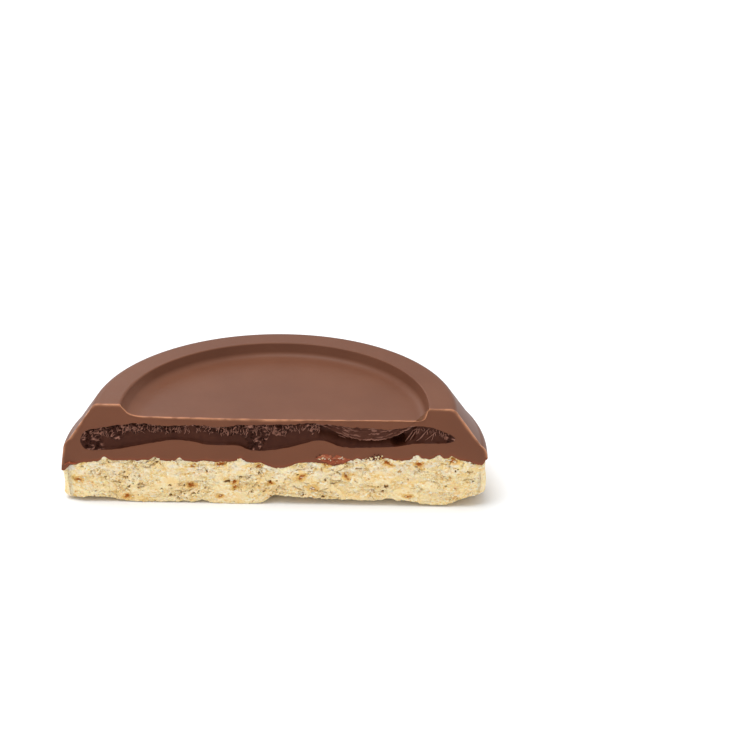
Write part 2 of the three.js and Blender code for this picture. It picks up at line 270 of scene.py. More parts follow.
def seam(x, y):
    """Seam height: its line, plus a bell for each crumb, minus one for each pool. Outside SLOPE_FROM it
    slopes down, and outside LAP_FROM it is the lower edge of the lap, deeper at -X and upturned at +X."""
    z = mix(BASE_HEIGHT, curve(SEAM_LINE, x), bell(y, SEAM_FADE))
    z = z + 0.07 * noise(x / 2.6, y / 2.6, 0, 11) + 0.07 * noise(x / 0.9, y / 0.9, 0, 12)
    for cx, height, width in CRUMBS:
        z = z + height * bell(np.hypot(x - cx, 0.7 * y), width)
    for cx, depth, width in POOLS:
        z = z - depth * bell(np.hypot(x - cx, 0.5 * y), width)
    r = np.hypot(x, y)
    side = x / np.maximum(r, 1)
    slope = np.clip((r - SLOPE_FROM) / (SLOPE_TO - SLOPE_FROM), 0, 1) ** 1.3
    lap = LAP_DROP - LAP_UNEVEN * side + 0.3 * noise(x / 5, y / 5, 0, 13)
    z = z - (SLOPE_DROP + SLOPE_UNEVEN * side) * slope
    grains = 0.06 * rough(x / 0.42, y / 0.42, 0, 14, 3) * bell(y, 0.9)
    return z + grains - lap * smooth((r - LAP_FROM) / (CAP_RADIUS - LAP_FROM))


def underside(x, y):
    """Height of the biscuit's underside: its line at the cut, 0 on the table behind it, and shallow pits."""
    pits = 0.5 * np.maximum(0, noise(x / 2.3, y / 2.3, 0, 21) - 0.35)
    broken = 0.1 * np.maximum(0, 0.2 + rough(x / 0.6, y / 0.6, 0, 22, 3)) * bell(y, 0.7)
    return np.maximum(0, curve(UNDERSIDE_LINE, x) * bell(y, UNDERSIDE_FADE) + pits + broken - 0.04)


def filling_roof(x, y):
    """Top of the filling: its line at the cut, level behind it, and thinner towards the round edge."""
    r = np.hypot(x - FILLING_SHIFT, y)
    edge = np.clip((r - FILLING_RADIUS) / FILLING_THINS + 1, 0, 1)
    level = mix(FILLING_TOP, curve(ROOF_LINE, x), bell(y, ROOF_FADE))
    waves = 0.06 * noise(x / 1.9, y / 1.9, 0, 51) + 0.07 * rough(x / 0.5, y / 0.5, 0, 53, 2) * bell(y, 0.8)
    return level - edge**2 * (1 - bell(y, 3)) + waves


def filling_floor(x, y):
    """Bottom of the filling: its line at the cut, and slow waves behind it."""
    level = mix(FILLING_BOTTOM, curve(FLOOR_LINE, x), bell(y, FLOOR_FADE))
    fine = 0.03 * noise(x / 0.4, y / 0.4, 0, 54) * bell(y, 0.8)
    return level + 0.25 * noise(x / 4.5, y / 4.5, 0, 52) * (1 - bell(y, 4)) + fine


sample = np.linspace(-20, 20, 9)
print("seam heights along the cut:", np.round(seam(sample, 0 * sample), 2))
print("filling thickness along the cut:", np.round(filling_roof(sample, 0) - filling_floor(sample, 0), 2))

# %% [markdown]
# ## From grids to a closed mesh
#
# Every surface here is a grid of points, and a solid piece is a few grids that share their edges. The points
# are joined to quads, points in the same place are merged, so that seams and poles close, and the normals are
# turned outwards. Edges sharper than a given angle stay sharp, and the rest are shaded smooth.

# %% Mesh helpers
WELD = 0.002 * MM  # points closer than this are one point


def quads(rows, columns):
    """Faces of one grid whose points are numbered row by row from 0."""
    i = np.arange(rows - 1)[:, None] * columns + np.arange(columns - 1)
    return np.stack([i, i + 1, i + columns + 1, i + columns], -1).reshape(-1, 4)


def mesh_of(grids, fills=(), sharp=50.0, values=None):
    """A closed mesh from grids of points (rows, columns, 3), or stacks of such grids, in millimetres, in the
    frame of the cut. `fills` are extra faces as lists of point numbers. `values` are numbers of the points."""
    points, faces, start = [], [], 0
    for grid in grids:
        rows, columns = grid.shape[-3:-1]
        flat = grid.reshape(-1, 3)
        firsts = start + np.arange(0, len(flat), rows * columns)
        faces.extend((firsts[:, None, None] + quads(rows, columns)).reshape(-1, 4).tolist())
        points.append(flat)
        start += len(flat)
    faces.extend(fills)
    mesh = bpy.data.meshes.new("surface")
    mesh.from_pydata(to_frame(np.concatenate(points)), [], faces)
    for name, numbers in (values or {}).items():
        flat = np.concatenate([n.ravel() for n in numbers])
        mesh.attributes.new(name, "FLOAT", "POINT").data.foreach_set("value", flat)
    shape = bmesh.new()
    shape.from_mesh(mesh)
    bmesh.ops.remove_doubles(shape, verts=shape.verts, dist=WELD)
    bmesh.ops.dissolve_degenerate(shape, edges=shape.edges, dist=WELD / 4)
    bmesh.ops.recalc_face_normals(shape, faces=shape.faces)
    limit = math.radians(sharp)
    for face in shape.faces:
        face.smooth = True
    for edge in shape.edges:
        edge.smooth = edge.calc_face_angle(0.0) < limit
    shape.to_mesh(mesh)
    shape.free()
    return mesh


def fan_mesh(loops, face_rows, values, sharp):
    """A closed mesh of loops of points (column, point, 3), which fan out from the cut, with a face at each end.
    The first `face_rows` points of a loop are the cut face, and its last point is its first one again.
    `values` are pairs for each name: the number on the cut face, and the number elsewhere."""
    columns, count = loops.shape[:2]
    last = (columns - 1) * count
    ends = [list(range(count - 1)), list(range(last, last + count - 1))]
    numbers = {}
    for name, (on_face, elsewhere) in values.items():
        spread = np.zeros((columns, count)) + elsewhere
        spread[:, :face_rows] = on_face
        numbers[name] = [spread]
    return mesh_of([loops], fills=ends, sharp=sharp, values=numbers)


def column_shares(columns, gap):
    """Even shares of the way along the cut. The first and the last lie `gap` steps inside its ends."""
    return (np.arange(columns) + gap) / (columns - 1 + 2 * gap)


def new_object(name, data):
    """An object at the origin, linked to the scene."""
    made = bpy.data.objects.new(name, data)
    bpy.context.scene.collection.objects.link(made)
    return made


def piece(name, mesh, material, replaces=()):
    """An object of the part: it rides on the one body, takes its finish from a slot and replaces solids."""
    mesh.name = name
    made = new_object(name, mesh)
    mesh.materials.append(material)
    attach(made, "root")
    if replaces:
        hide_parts(*replaces)
    uses = np.zeros(len(mesh.loops), np.int32)
    mesh.loops.foreach_get("edge_index", uses)
    open_edges = np.count_nonzero(np.bincount(uses, minlength=len(mesh.edges)) != 2)
    print(f"{name}: {len(mesh.vertices)} points, {len(mesh.polygons)} faces, {open_edges} open edges")
    return made


def swell(t):
    """From 0 up to 1 and back to 0 as t runs from 0 to 1: the root of the sine of pi times t."""
    return np.sqrt(np.sin(math.pi * t).clip(0))


def arc(start, end, steps, bulge=0.0):
    """Points from start to end along a parabola. Its middle stands out to the left by `bulge` chords."""
    t = np.linspace(0, 1, steps)[:, None]
    start, end = np.array(start), np.array(end)
    left = np.array([start[1] - end[1], end[0] - start[0]])
    return mix(start, end, t) + 4 * bulge * t * (1 - t) * left


def bend(start, corner, end, steps):
    """Points on a curve that leaves the start towards the corner and arrives at the end from it."""
    t = np.linspace(0, 1, steps)[:, None]
    start, corner, end = np.array(start), np.array(corner), np.array(end)
    return mix(mix(start, corner, t), mix(corner, end, t), t)


print("mesh helpers ready, points weld at", WELD / MM, "mm")

# %% [markdown]
# ## Materials as written expressions
#
# A Blender material is a graph of nodes. Written out node by node it is hard to read, so a small class wraps
# one output socket and gives it plus, minus and times: an expression on such values adds Math nodes. A recipe
# holds one material and makes any other node from its type, its settings and its inputs.


# %% Values and recipes of materials
class Value:
    """One number or colour that flows through a material. Arithmetic on it adds Math nodes."""

    def __init__(self, recipe, socket):
        self.recipe, self.socket = recipe, socket

    def math(self, operation, first, second):
        return self.recipe.node("Math", {"operation": operation}, {0: first, 1: second})

    def __add__(self, other):
        return self.math("ADD", self, other)

    def __sub__(self, other):
        return self.math("SUBTRACT", self, other)

    def __mul__(self, other):
        return self.math("MULTIPLY", self, other)

    def __rsub__(self, other):
        return self.math("SUBTRACT", other, self)

    __radd__, __rmul__ = __add__, __mul__

    def ramp(self, low, high):
        """0 at `low` and 1 at `high`, smooth between them and level outside."""
        settings = {"interpolation_type": "SMOOTHSTEP"}
        return self.recipe.node("MapRange", settings, {0: self, 1: low, 2: high, 3: 0.0, 4: 1.0})


class Recipe:
    """One material round a Principled shader."""

    def __init__(self, name, **constants):
        self.material = bpy.data.materials.new(name)
        self.material.use_nodes = True
        self.tree = self.material.node_tree
        self.shader = self.tree.nodes["Principled BSDF"]
        for socket, value in constants.items():
            self.shader.inputs[socket.replace("_", " ")].default_value = value

    def node(self, kind, settings=None, inputs=None, out=0):
        """A node of a type, its settings set first, then the values or links of its sockets."""
        node = self.tree.nodes.new("ShaderNode" + kind)
        for key, value in (settings or {}).items():
            setattr(node, key, value)
        for key, value in (inputs or {}).items():
            if isinstance(value, Value):
                self.tree.links.new(value.socket, node.inputs[key])
            else:
                node.inputs[key].default_value = value
        return Value(self, node.outputs[out])

    def place(self, stretch=(1.0, 1.0, 1.0)):
        """Object coordinates in millimetres, stretched along the axes."""
        here = self.node("TexCoord", out="Object")
        scale = tuple(s / MM for s in stretch)
        return self.node("VectorMath", {"operation": "MULTIPLY"}, {0: here, 1: scale})

    def grain(self, where, size, detail, roughness=0.55):
        """Noise from 0 to 1 whose patches are about `size` millimetres wide."""
        inputs = {"Vector": where, "Scale": 1 / size, "Detail": detail, "Roughness": roughness}
        return self.node("TexNoise", {}, inputs)

    def attribute(self, name):
        """A number that was stored on the points of the mesh."""
        return self.node("Attribute", {"attribute_name": name}, out="Fac")

    def blend(self, share, low, high):
        """A colour a share of the way from `low` to `high`."""
        return self.node("Mix", {"data_type": "RGBA"}, {0: share, 6: low, 7: high}, out=2)

    def finish(self, colour, roughness, height, depth):
        """Links colour, roughness and a bump whose full height is `depth` millimetres to the shader."""
        bump = self.node("Bump", {}, {"Strength": 1.0, "Distance": depth * MM, "Height": height})
        for socket, value in (("Base Color", colour), ("Roughness", roughness), ("Normal", bump)):
            self.tree.links.new(value.socket, self.shader.inputs[socket])
        return self.material


def tint(red, green, blue):
    """A colour given as it looks on a screen, 0 to 255, as the linear numbers that a shader takes."""
    screen = np.array([red, green, blue]) / 255
    linear = np.where(screen <= 0.04045, screen / 12.92, ((screen + 0.055) / 1.055) ** 2.4)
    return (*map(float, linear), 1.0)


print("a mid brown in linear light:", np.round(tint(122, 80, 62), 3))

# %% [markdown]
# ## The milk chocolate
#
# Moulded chocolate is smooth and satin where it touched the mould, and duller where a knife went through it.
# Its colour hardly changes, so the look comes mostly from gloss: a middling roughness that drifts a little, and a
# very faint waviness. The moulded surfaces are painted a little greyer than the cut, a painted sheen. The thin
# edge that the knife dragged up is paler, partly as crushed chocolate and partly as a painted highlight where it
# catches the light, and chocolate smeared over biscuit is redder. So the mesh carries three numbers for the
# shader: the cut face, that edge and the smear.


# %% Milk chocolate
def milk_chocolate():
    skin = {"Subsurface_Weight": 0.06, "Subsurface_Scale": 0.0006, "Subsurface_Radius": (1.0, 0.45, 0.25)}
    recipe = Recipe("milk_chocolate", IOR=1.45, Specular_IOR_Level=0.24, **skin)
    here = recipe.place()
    cut = recipe.attribute("cut")
    smear = recipe.attribute("smear")
    uneven = recipe.grain(here, 1.4, detail=2).ramp(0.3, 0.6)
    edge = recipe.attribute("edge") * (uneven * 0.6 + 0.4)
    cloud = recipe.grain(here, 11.0, detail=3)
    # Painted sheen: the moulded surfaces are tinted a little greyer than the knife's cut, for the sheen of the level
    # faces.
    mould = recipe.blend(cloud.ramp(0.3, 0.7), tint(108, 67, 48), tint(115, 73, 53))
    knife = recipe.blend(cloud.ramp(0.35, 0.65), tint(110, 65, 43), tint(116, 69, 46))
    colour = recipe.blend(cut, mould, knife)
    colour = recipe.blend(smear, colour, tint(150, 74, 45))
    # The paler edge colour, also on the smears' upper wisps: partly crushed chocolate, partly a painted highlight where
    # the burr catches the light.
    colour = recipe.blend(edge * 0.85, colour, tint(206, 142, 104))
    speckle = recipe.grain(here, 0.3, detail=3)
    roughness = 0.42 + 0.08 * cloud + cut * 0.06 + 0.04 * speckle - edge * 0.2
    waves = recipe.grain(here, 4.5, detail=3) * 0.8 + speckle * (0.05 + 0.1 * cut)
    return recipe.finish(colour, roughness, waves, depth=0.03)


CHOCOLATE = milk_chocolate()
print("chocolate made of", len(CHOCOLATE.node_tree.nodes), "nodes")

# %% [markdown]
# ## The chocolate cap
#
# The cap could be a lathe shape with the pocket cut out by a Boolean, but a Boolean leaves long thin faces
# at the cut, just where it shows most. So the cap is built from its own section: a loop round the outside
# (dish, rim, bevel, wall, lap and back along the seam) and a loop round the pocket, with as many points. Both
# are carried round half a turn. At the two ends of that turn, the band between the loops is the cut face.

# %% Sizes of the cap's grid
TURN_STEPS = 150  # steps round the half turn, close together near the cut
POCKET_STEPS = 26
BAND_ROWS = 20  # rows between the two loops on the cut face
OUTSIDE = {"dish": 112, "dish_wall": 34, "rim": 16, "bevel": 40, "wall": 34, "seam": 200}
BRINK_STEPS, EDGE_STEPS, SHOULDER_STEPS, LIP_STEPS = 8, 14, 12, 9  # points on the roundings between these
BRINK_BULGE, EDGE_BULGE = 0.14, 0.12
ROOF_EXTRA = 20  # points of the bevel that are still joined to the pocket's roof
EDGE_ENDS = 12  # the dragged edge stops this many points above the seam
FILLING_END = 0.6  # the filling's round edge is rounded over this width
THINNEST = 0.15  # the filling is at least this thick
LIP = 0.2  # rounding of the lap's lower edge
# The end of the dish's floor, its corner, and its wall's foot and top, all round and softer at the -X end
STEEP_CORNER = (DISH_FLOOR, DISH_CORNER, DISH_WALL_FOOT, DISH_WALL_TOP)
SOFT_CORNER = ((15.6, 11.68), (17.7, 11.72), (18.1, 12.45), (18.6, 13.0))
SOFT_FROM = 0.8  # the soft corner starts where minus the angle's cosine is this large
KNIFE_WAVES = 0.03  # unevenness of the cut face
KNIFE_REACH = 0.35  # how far behind the cut the knife moved the chocolate
BURR = 0.14  # how far the dragged edge stands out in front of the cut
BURR_WIDTH = 0.24
BURR_REACH = 0.12
WARMTH, WARM_WIDTH = 0.4, 0.3  # the chocolate is redder near the seam


def eased(steps):
    """Shares from 0 to 1 that lie closer together at both ends: half of 1 minus the cosine of half a turn."""
    return (1 - np.cos(np.linspace(0, math.pi, steps))) / 2


def dish_profile(floor_end, corner, wall_foot, wall_top):
    """Radius and height from the middle of the dish, up its wall and over the rim to the bevel's foot."""
    floor = arc(DISH_MIDDLE, floor_end, OUTSIDE["dish"])
    fillet = bend(floor_end, corner, wall_foot, OUTSIDE["dish_wall"] - BRINK_STEPS)
    brink = arc(wall_top, RIM_INNER, BRINK_STEPS, BRINK_BULGE)
    rim = arc(RIM_INNER, RIM_OUTER, OUTSIDE["rim"])
    over = arc(RIM_OUTER, BEVEL_TOP, EDGE_STEPS, EDGE_BULGE)
    down = arc(BEVEL_TOP, BEVEL_FOOT, OUTSIDE["bevel"] - EDGE_STEPS)
    return np.concatenate([floor, fillet, brink, rim, over, down])


def wall_radius(z):
    """Radius of the cap's wall at a height: straight between three measured corners."""
    corners = np.array([WALL_LOW, WALL_MIDDLE, WALL_TOP])
    return np.interp(z, corners[:, 1], corners[:, 0])


def outer_loop(angle):
    """Points (angle, point, 3) of the cap's outside, from the middle of the dish round to the axis."""
    across, back = np.cos(angle)[:, None], np.sin(angle)[:, None]
    shoulder = arc(BEVEL_FOOT, WALL_TOP, SHOULDER_STEPS, EDGE_BULGE)[1:]
    steep, gentle = [np.concatenate([dish_profile(*c), shoulder]) for c in (STEEP_CORNER, SOFT_CORNER)]
    softer = smooth((-across - SOFT_FROM) / (1 - SOFT_FROM))[..., None]
    upper = mix(steep, gentle, softer)
    top = np.stack([upper[..., 0] * across, upper[..., 0] * back, upper[..., 1]], -1)

    low = seam(CAP_RADIUS * across, CAP_RADIUS * back)
    edge = wall_radius(low + LIP)
    low = seam((edge - LIP) * across, (edge - LIP) * back)
    t = np.linspace(0, 1, OUTSIDE["wall"] - (SHOULDER_STEPS - 1) - (LIP_STEPS - 1))[None, 1:]
    wall_z = mix(WALL_TOP[1], low + LIP, t)
    turn = np.linspace(0, math.pi / 2, LIP_STEPS)[None, 1:]
    r = np.concatenate([wall_radius(wall_z), edge - LIP + LIP * np.cos(turn)], 1)
    z = np.concatenate([wall_z, low + LIP - LIP * np.sin(turn)], 1)
    wall = np.stack([r * across, r * back, z], -1)

    r = (edge - LIP) * np.linspace(1, 0, OUTSIDE["seam"])[None, 1:]
    x, y = r * across, r * back
    under = np.stack([x, y, seam(x, y)], -1)
    return np.concatenate([top, wall, under], 1)


def filling_reach(angle):
    """How far the filling's round end is from the middle: its circle is shifted along the cut, so the distance
    is the shift's part along the angle plus the root of radius squared minus the part across it squared."""
    return FILLING_SHIFT * np.cos(angle) + np.sqrt(FILLING_RADIUS**2 - (FILLING_SHIFT * np.sin(angle)) ** 2)


def pocket_point(angle, share, side):
    """A point of the filling's skin. `share` runs from the axis (0) out to the round end (1), and `side` is
    +1 on the roof and -1 on the floor. Towards the end the two close in as half an ellipse does."""
    end = filling_reach(angle)
    r = share * end
    x, y = r * np.cos(angle), r * np.sin(angle)
    roof, floor = filling_roof(x, y), filling_floor(x, y)
    past = np.clip((r - end + FILLING_END) / FILLING_END, 0, 1)
    closing = np.sqrt(np.maximum(0, 1 - past**2))
    middle, half = (roof + floor) / 2, np.maximum(roof - floor, THINNEST) / 2
    return np.stack([x, y, middle + side * half * closing], -1)


def inner_loop(angle, count_up, count_round, count_back):
    """Points (angle, point, 3) of the pocket: out along its roof, round its end and back along its floor."""
    angle = angle[:, None]
    near = 1 - FILLING_END / FILLING_RADIUS
    turn = np.linspace(0, math.pi, count_round + 2)[None, 1:-1]
    roof = pocket_point(angle, np.linspace(0, near, count_up)[None, :], 1.0)
    end = pocket_point(angle, near + (1 - near) * np.sin(turn), np.where(np.cos(turn) > 0, 1.0, -1.0))
    floor = pocket_point(angle, np.linspace(near, 0, count_back)[None, :], -1.0)
    return np.concatenate([roof, end, floor], 1)


def knife(points, along_edge):
    """Moves points near the cut forward or back: slow waves of the knife, and the dragged edge in front.
    `along_edge` is 1 on the cap's upper edge and fades over BURR_WIDTH."""
    x, y, z = points[..., 0], points[..., 1], points[..., 2]
    waves = KNIFE_WAVES * on_cut(x, z, 3.7, 2.6, 71) + 0.2 * KNIFE_WAVES * on_cut(x, z, 0.9, 0.6, 72)
    strength = 0.6 + 0.4 * on_cut(x, z, 0.9, 0.9, 73)
    burr = BURR * np.maximum(0, strength) * along_edge * bell(y, BURR_REACH)
    moved = points.copy()
    moved[..., 1] = y + bell(y, KNIFE_REACH) * (waves + KNIFE_WAVES) - burr
    moved[..., 2] = z - 0.2 * burr
    return moved


def cap_mesh():
    """The whole cap: outside, pocket, and at each end of the turn the band between the two loops."""
    outside = outer_loop(math.pi * eased(TURN_STEPS))
    count = outside.shape[1]
    top_count = OUTSIDE["dish"] + OUTSIDE["dish_wall"] + OUTSIDE["rim"] + ROOF_EXTRA
    round_count = OUTSIDE["bevel"] + OUTSIDE["wall"] - ROOF_EXTRA
    inside = inner_loop(math.pi * eased(POCKET_STEPS), top_count, round_count, count - top_count - round_count)
    edge_line = np.where(np.arange(count) < top_count + round_count - EDGE_ENDS, 1.0, 0.0)[None, :]

    grids = [knife(outside, edge_line), knife(inside, 0.0)]
    # Where the paler edge colour goes: partly crushed chocolate, partly a painted highlight on the dragged burr.
    near = [bell(outside[..., 1], BURR_REACH) * edge_line, 0 * inside[..., 0]]
    cut = [bell(outside[..., 1], 0.05), bell(inside[..., 1], 0.3)]
    warm = [0 * outside[..., 0], 0 * inside[..., 0]]
    share = eased(BAND_ROWS)[:, None]
    for end in (0, -1):
        band = mix(outside[end][None], inside[end][None], share[..., None])
        reach = np.linalg.norm(outside[end] - inside[end], axis=-1)[None] * share
        along = edge_line * bell(reach, BURR_WIDTH)
        grids.append(knife(band, along))
        near.append(along)
        cut.append(np.ones(along.shape))
        warm.append(WARMTH * bell(band[..., 2] - seam(band[..., 0], 0.0), WARM_WIDTH))
    return mesh_of(grids, sharp=38.0, values={"edge": near, "cut": cut, "smear": warm})


cap = piece("milk_chocolate_cap", cap_mesh(), CHOCOLATE, ["chocolate_cap"])

# %% [markdown]
# ## The crumb of the biscuit
#
# Short dough breaks between its grains. On the cut, a baked base shows a pale, fine crumb, small dark holes
# in loose groups, level splits where the dough was rolled, and toasted golden bits. The larger of these are
# real relief here, worked out by one function, which also says where a hole, a split or a toasted bit lies, so
# that the material can colour what the mesh shapes. Holes and splits are painted dark brown, a painted shade
# on top of the shade that their depth casts.


# %% Biscuit
def biscuit_dough():
    skin = {"Subsurface_Weight": 0.3, "Subsurface_Scale": 0.0006, "Subsurface_Radius": (1.0, 0.7, 0.4)}
    recipe = Recipe("baked_biscuit", IOR=1.45, Specular_IOR_Level=0.2, **skin)
    here = recipe.place()
    level = recipe.place((0.6, 0.6, 1.25))
    hole_shade, toast, crust, height, plate = map(recipe.attribute, ("hole_shade", "toast", "crust", "height", "plate"))
    cloud = recipe.grain(level, 1.5, detail=4)
    golden = recipe.grain(recipe.place((0.7, 0.7, 1.1)), 1.5, detail=2)
    pale = recipe.grain(level, 0.8, detail=3).ramp(0.42, 0.6)
    flecks = recipe.grain(recipe.place((1.0, 1.0, 1.5)), 0.34, detail=3)
    busy = recipe.grain(level, 1.1, detail=2).ramp(0.4, 0.6)
    colour = recipe.blend(cloud.ramp(0.35, 0.65), tint(248, 216, 154), tint(253, 233, 186))
    layers = [
        (plate * 0.6, tint(244, 214, 150)),
        (golden.ramp(0.58, 0.74) * (1.2 - height) * 0.6, tint(244, 192, 122)),
        (pale * (0.3 + 0.6 * height), tint(246, 232, 204)),
        (flecks.ramp(0.5, 0.36) * (0.15 + 0.6 * busy), tint(226, 178, 98)),
        (flecks.ramp(0.55, 0.68) * (0.3 + 0.6 * busy), tint(255, 247, 226)),
        (toast.ramp(0.0, 0.3) * 0.75, tint(232, 184, 98)),
        # Painted shade: holes and splits darkened to brown, beside the real shade that their depth casts.
        (hole_shade.ramp(0.1, 0.9) * 0.9, tint(140, 92, 32)),
        (toast.ramp(0.45, 0.95), tint(174, 98, 34)),
        (crust * 0.55, tint(222, 180, 116)),
    ]
    for share, shade in layers:
        colour = recipe.blend(share, colour, shade)
    fine = recipe.grain(here, 0.17, detail=3, roughness=0.6)
    return recipe.finish(colour, 0.84 + 0.12 * fine, fine, depth=0.12)


BISCUIT = biscuit_dough()
print("biscuit made of", len(BISCUIT.node_tree.nodes), "nodes")

# %% [markdown]
# ## The biscuit base
#
# The base is a half disc. Its grid has one column for each step along the cut, and each column is a closed
# loop: up the cut face, back along the seam, down the round side and forward along the underside. A column
# starts on the straight cut and ends on the round edge, so the columns fan out like the folds of a fan.

# %% Sizes of the base's grid
BASE_COLUMNS = 860
CUT_ROWS = 76
TOP_ROWS = 6
SIDE_ROWS = 20
UNDER_ROWS = 10
TURN_ROWS = 8  # rows on each rounding of the round side
BASE_GAP = 0.05  # the first column starts this share of a step inside the cut's end
CORNER = 0.7  # rounding of the upright edge between the cut and the round side
CORNER_FADE = 1.6  # the cut's relief fades out this close to the two ends
END_FADE = 2.5  # this close to them the cut face leans out and in with the round side
CRUST_FADE = 3  # the round side's crust is full this far behind the cut
MEAN_DEPTH = 0.26  # the broken plates' usual depth, so that they lie half before and half behind the cut
PROUD = 0.14  # the furthest that a crumb stands out of the cut
CORNER_BACK = 0.3  # how far the crumbled upright edge lies behind the cut
SEAM_TOUCH = 0.02  # the chocolate sits this little above the biscuit


def crumb(x, z):
    """(depth behind the cut, hole_shade, toast, plate): broken plates of two sizes at uneven depths, splits where
    their borders opened, small holes grouped where the dough crumbled, and larger toasted bits. The second
    number marks the holes and splits, which the material paints dark as a painted shade."""
    across = x + 0.3 * on_cut(x, z, 0.7, 0.5, 101) + 0.1 * on_cut(x, z, 0.22, 0.2, 112)
    along = z + 0.22 * on_cut(x, z, 0.9, 0.5, 102) + 0.08 * on_cut(x, z, 0.2, 0.18, 113)
    large, large_border = plates(across, along, 1.25, 31, 1.6)
    small, small_border = plates(across, along, 0.42, 32, 1.35)
    loose = smooth((on_cut(x, z, 2.2, 1.2, 104) + 0.35 * on_cut(x, z, 0.8, 0.6, 111) + 0.1) / 0.5)
    pits = dots(across, along, 0.85, 105, 0.14 + 0.46 * loose, 0.12, 0.3, 1.4)
    specks = dots(across, along, 0.38, 106, 0.05 + 0.35 * loose, 0.2, 0.42, 1.3)
    open_here = smooth((on_cut(x, z, 1.5, 0.8, 108) - 0.3) / 0.3)
    split = np.maximum(smooth(1 - large_border / 0.2) * open_here, 0.5 * smooth(1 - small_border / 0.25) * loose)
    toast = dots(across, along, 2.3, 110, 0.55, 0.16, 0.36, 1.4)
    grit = 0.07 * rough(x / 0.3, 0, z / 0.22, 109, 3)
    # Where holes and splits lie: the material paints shade into these recesses.
    hole_shade = np.clip(pits + 0.7 * specks + 0.6 * split, 0, 1)
    steps = 0.28 * large + (0.06 + 0.2 * loose) * small
    depth = steps + 0.36 * pits + 0.12 * specks + 0.14 * split + grit + 0.16 * toast
    return depth - MEAN_DEPTH, hole_shade, toast, large


def round_roughness(angle, z):
    """Unevenness of the round side, in millimetres outwards."""
    x, y = BASE_RADIUS * np.cos(angle), BASE_RADIUS * np.sin(angle)
    return 0.14 * noise(x / 1.6, y / 1.6, z / 1.2, 61) + 0.06 * rough(x / 0.5, y / 0.5, z / 0.5, 62, 3)


def rounding(height, size):
    """How far a rounded corner of a size lies inside the square one, at a height over that corner."""
    up = np.clip(height / size, 0, 1)
    return size * (1 - np.sqrt(1 - (1 - up) ** 2))


def base_mesh():
    """The base as loops of points, one for each step along the cut, closed by a face at each end."""
    share = column_shares(BASE_COLUMNS, BASE_GAP)
    angle = math.pi * (1 - share)[:, None]
    half = BASE_RADIUS - CORNER
    on_cut = BASE_SHIFT + half * (2 * share - 1)[:, None]

    t = np.linspace(0, 1, CUT_ROWS)[None, :]
    low, high = underside(on_cut, 0.0), seam(on_cut, 0.0) - SEAM_TOUCH
    z = mix(low, high, t)
    to_end = half - np.abs(on_cut - BASE_SHIFT)
    border = 0.3 + 0.7 * smooth(np.minimum(z - low, high - z) / 0.2)
    depth, hole_shade, toast, plate = crumb(on_cut + 0 * z, z)
    depth = np.clip(depth * border, -PROUD, 1.0) * smooth(to_end / CORNER_FADE)
    outwards = round_roughness(angle, z) - rounding(z - low, BASE_FOOT) - rounding(high - z, BASE_BROW)
    near_end = np.sign(on_cut) * (1 - smooth(to_end / END_FADE))
    cut_face = np.stack([on_cut + near_end * outwards, depth, z], -1)

    from_tip = BASE_RADIUS * (np.sin(angle) - math.sin(math.pi * share[0]))
    corner = rounding(from_tip, CORNER)

    def from_cut(w, radius, start=0.0):
        """Points a share w of the way from the cut, where x is `start`, to the round edge."""
        reach = radius - corner
        return mix(start, BASE_SHIFT + reach * np.cos(angle), w), w * reach * np.sin(angle)

    w = np.linspace(0, 1, TOP_ROWS + 1)[None, 1:-1]
    x, y = from_cut(w, BASE_RADIUS - BASE_BROW, cut_face[:, -1:, 0])
    top = np.stack([x, y, seam(x, y) - SEAM_TOUCH], -1)

    edge_x, edge_y = from_cut(1.0, BASE_RADIUS - BASE_BROW)
    brow_top = seam(edge_x, edge_y) - SEAM_TOUCH
    turn = np.linspace(0, math.pi / 2, TURN_ROWS)[None, :]
    brow_r = BASE_RADIUS - BASE_BROW * (1 - np.sin(turn)) + 0 * brow_top
    brow_z = brow_top - BASE_BROW * (1 - np.cos(turn))
    foot_r = BASE_RADIUS - BASE_FOOT * (1 - np.cos(turn)) + 0 * brow_top
    floor_z = underside(*from_cut(1.0, BASE_RADIUS))
    foot_z = floor_z + BASE_FOOT * (1 - np.sin(turn))
    down = np.linspace(0, 1, SIDE_ROWS - 2 * (TURN_ROWS - 1))[None, 1:-1]
    wall_z = mix(brow_z[:, -1:], foot_z[:, :1], down)
    r = np.concatenate([brow_r, BASE_RADIUS + 0 * wall_z, foot_r], 1)
    z = np.concatenate([brow_z, wall_z, foot_z], 1)
    r = r + round_roughness(angle, z) - corner
    side = np.stack([BASE_SHIFT + r * np.cos(angle), r * np.sin(angle), z], -1)

    w = np.linspace(1, 0, UNDER_ROWS + 1)[None, 1:-1]
    x, y = from_cut(w, BASE_RADIUS - BASE_FOOT, cut_face[:, :1, 0])
    under = np.stack([x, y, underside(x, y)], -1)

    loops = np.concatenate([cut_face, top, side, under, cut_face[:, :1]], 1)
    loops[..., 1] += CORNER_BACK * (1 - smooth(to_end / CORNER_FADE))
    values = {"hole_shade": (hole_shade, 0.0), "toast": (toast, 0.0), "plate": (plate, 0.5)}
    values |= {"crust": (0.0, smooth(from_tip / CRUST_FADE)), "height": (smooth((t - 0.45) / 0.4), 0.3)}
    return fan_mesh(loops, CUT_ROWS, values, sharp=75.0)


base = piece("biscuit_crumb", base_mesh(), BISCUIT, ["biscuit_base"])

# %% [markdown]
# ## The filling's finish
#
# The filling in this biscuit is a very dark, dense caramel. The knife pulled it: above it tore into short
# sticky crests that catch the light, and below it stayed smooth. Colour and gloss both follow the tear, so
# the mesh stores how torn each point is. It also stores a painted highlight: pale colour painted where the
# crests, the flap's edge and streaks, and the strands catch the light.


